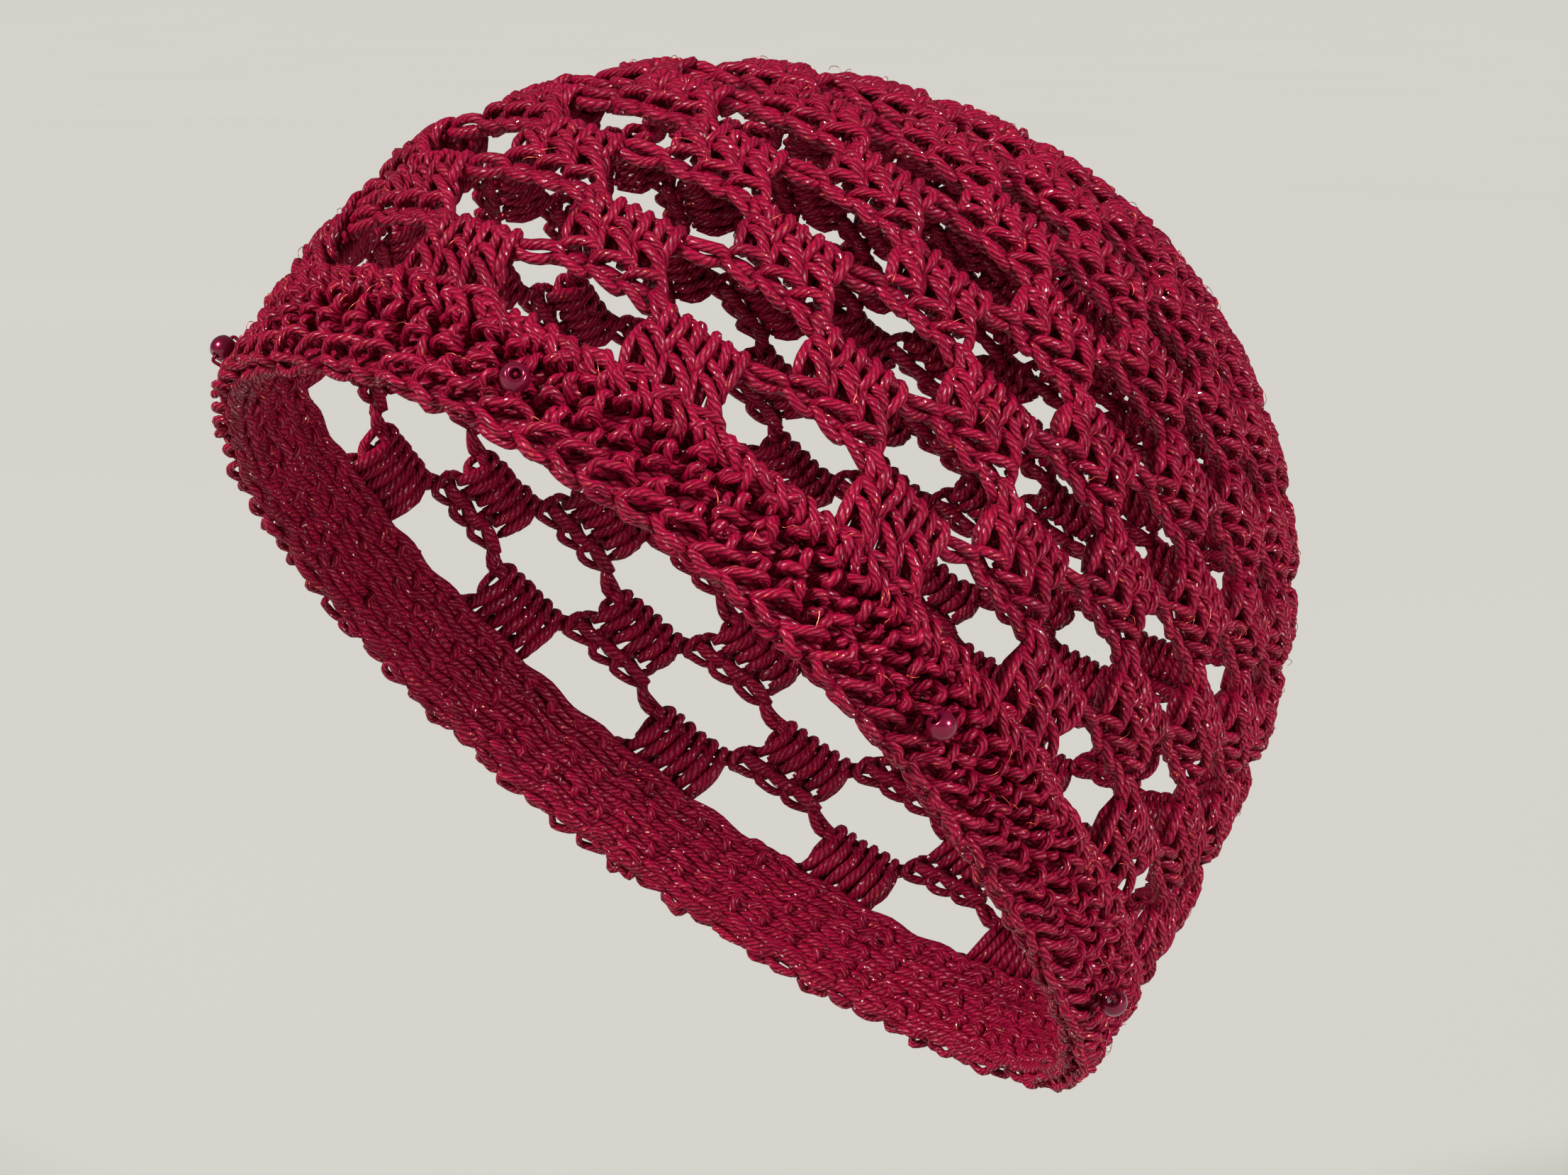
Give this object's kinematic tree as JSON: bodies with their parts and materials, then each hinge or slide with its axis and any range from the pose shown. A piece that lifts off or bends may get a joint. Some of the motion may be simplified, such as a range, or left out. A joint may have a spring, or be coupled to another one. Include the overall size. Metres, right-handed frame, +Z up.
{
  "type": "crochet skullcap",
  "caption": "Close-fitting openwork crochet skullcap with a closed crown centre, a dense headband, a braided edging and small pearl beads, in the form it has when worn.",
  "frame": {"origin": "middle of the opening that the head goes into", "axes": "+Z up with the cap tilted back as it is worn, -Y towards the wearer's front, +X towards the wearer's left"},
  "size_m": [0.1697, 0.1937, 0.182],
  "materials": {
    "cotton_yarn": "plied cotton with a fine metallic thread, soft sheen",
    "pearl_bead": "coated pearl, glossy"
  },
  "bodies": {
    "root": {"crown_centre": "cotton_yarn", "crown_net": "cotton_yarn", "headband": "cotton_yarn", "edging": "cotton_yarn", "bead_front_right": "pearl_bead", "bead_front_left": "pearl_bead", "bead_side_left": "pearl_bead", "bead_back_left": "pearl_bead", "bead_back": "pearl_bead", "bead_back_right": "pearl_bead", "bead_side_right": "pearl_bead"}
  },
  "joints": []
}
